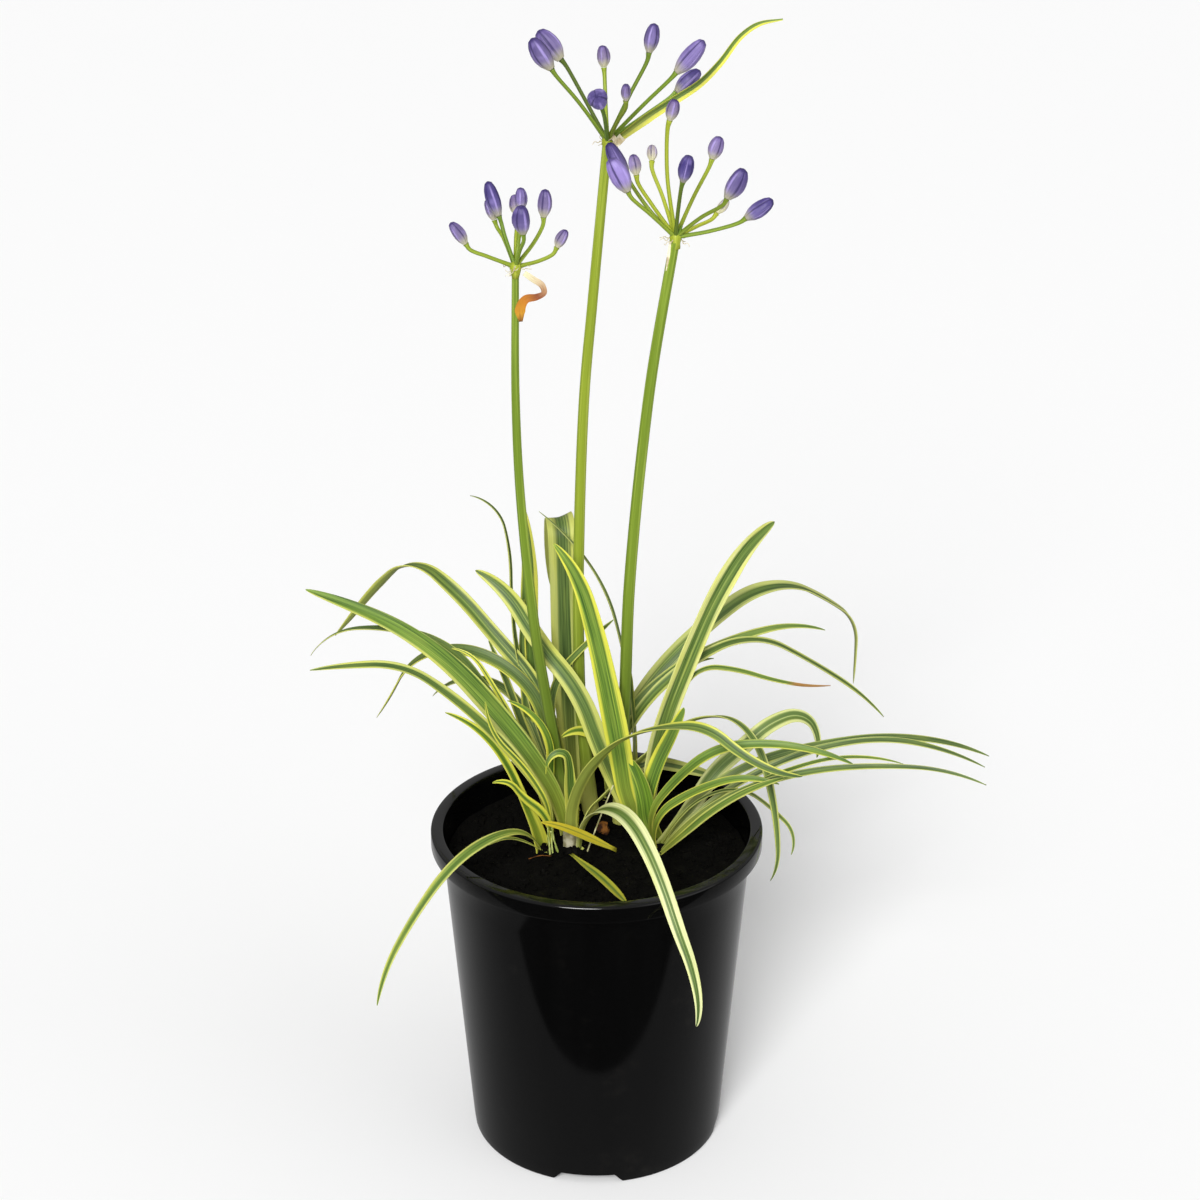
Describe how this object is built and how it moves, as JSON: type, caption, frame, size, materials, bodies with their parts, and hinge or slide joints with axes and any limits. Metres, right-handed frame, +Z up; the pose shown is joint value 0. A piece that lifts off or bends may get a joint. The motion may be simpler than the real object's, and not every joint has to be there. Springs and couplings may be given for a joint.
{
  "type": "potted agapanthus plant",
  "caption": "Clump of variegated agapanthus with striped strap leaves and flower stems in bud, growing in a black plastic nursery pot.",
  "frame": {"origin": "middle of the pot's underside, on the surface it stands on", "axes": "+Z up along the pot's axis, +X to the right and +Y to the back of the plant"},
  "size_m": [0.4182, 0.2846, 0.6765],
  "materials": {
    "pot": "semi-gloss moulded black plastic",
    "soil": "matt, crumbly",
    "leaf": "satin, grey-green centre with green stripes and cream to yellow margins",
    "yellow_leaf": "satin, yellow with a faint green middle",
    "flower_stem": "satin, light green",
    "bud": "satin, violet-blue with paler seams",
    "dry_spathe": "papery, cream to red-brown"
  },
  "bodies": {
    "root": {"pot": "pot", "soil": "soil", "front_left_shoot": "leaf", "left_shoot": "leaf", "back_left_shoot": "leaf", "back_shoot": "leaf", "back_right_shoot": "leaf", "middle_shoot": "leaf", "right_shoot": "leaf", "front_right_shoot": "leaf", "fallen_yellow_leaf": "yellow_leaf", "leaf_lying_on_soil": "yellow_leaf", "left_flower_stem": "flower_stem", "left_bud_1": "bud", "left_bud_2": "bud", "left_bud_3": "bud", "left_bud_4": "bud", "left_bud_5": "bud", "left_bud_6": "bud", "left_bud_7": "bud", "left_bud_8": "bud", "middle_flower_stem": "flower_stem", "middle_bud_1": "bud", "middle_bud_2": "bud", "middle_bud_3": "bud", "middle_bud_4": "bud", "middle_bud_5": "bud", "middle_bud_6": "bud", "middle_bud_7": "bud", "middle_bud_8": "bud", "right_flower_stem": "flower_stem", "right_bud_1": "bud", "right_bud_2": "bud", "right_bud_3": "bud", "right_bud_4": "bud", "right_bud_5": "bud", "right_bud_6": "bud", "right_bud_7": "bud", "right_bud_8": "bud", "right_bud_9": "bud", "right_bud_10": "bud", "green_bract": "leaf", "dry_spathe": "dry_spathe"}
  },
  "joints": []
}
